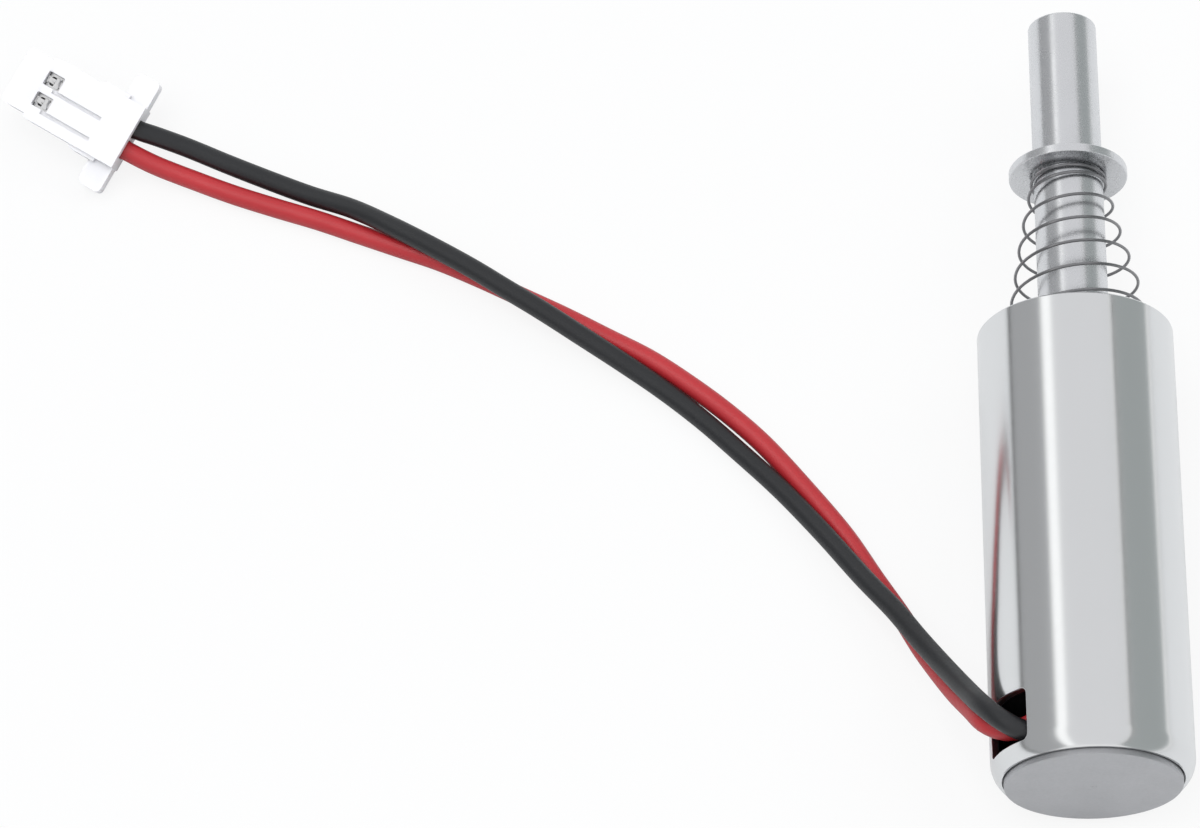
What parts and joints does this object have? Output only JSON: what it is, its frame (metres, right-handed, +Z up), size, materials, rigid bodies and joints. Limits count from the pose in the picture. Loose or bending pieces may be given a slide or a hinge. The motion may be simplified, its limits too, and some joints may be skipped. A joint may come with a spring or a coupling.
{
  "type": "push pull solenoid",
  "caption": "Small tubular pull solenoid: steel case, sliding plunger with a conical return spring, and flying leads to a two-way crimp housing.",
  "frame": {"origin": "bottom centre of the case and plunger, lying on their side on the surface", "axes": "+Y along the solenoid's axis, from the base plug to the plunger's tip; +Z up; the leads run towards -X"},
  "size_m": [0.0613, 0.0432, 0.01],
  "materials": {
    "nickel_case": "bright nickel plate",
    "plain_steel": "satin",
    "spring_steel": "drawn wire",
    "brass": "drawn tube",
    "copper": "enamelled wire",
    "tinned": "tin plate",
    "black_plastic": "matt",
    "tape": "polyimide tape",
    "black_pvc": "satin",
    "red_pvc": "satin",
    "white_nylon": "natural nylon"
  },
  "bodies": {
    "case": {"case_shell": "nickel_case", "base_plug": "plain_steel", "rear_insulator": "black_plastic", "pole_shim": "brass", "guide_tube": "brass", "bobbin": "black_plastic", "coil_winding": "copper", "coil_tape": "tape", "return_spring": "spring_steel", "black_lead": "black_pvc", "red_lead": "red_pvc", "black_conductor": "tinned", "red_conductor": "tinned", "black_sleeve": "black_plastic", "red_sleeve": "black_plastic", "black_joint": "tinned", "red_joint": "tinned", "black_coil_tail": "copper", "red_coil_tail": "copper", "connector_housing": "white_nylon", "black_terminal": "tinned", "red_terminal": "tinned"},
    "plunger": {"plunger": "plain_steel"}
  },
  "joints": [
    {"name": "plunger_pull", "type": "slide", "parent": "case", "child": "plunger", "axis": [0, -1, 0], "range_m": [0, 0.004], "stiffness_N_per_m": 10, "deforming": ["return_spring"]}
  ]
}
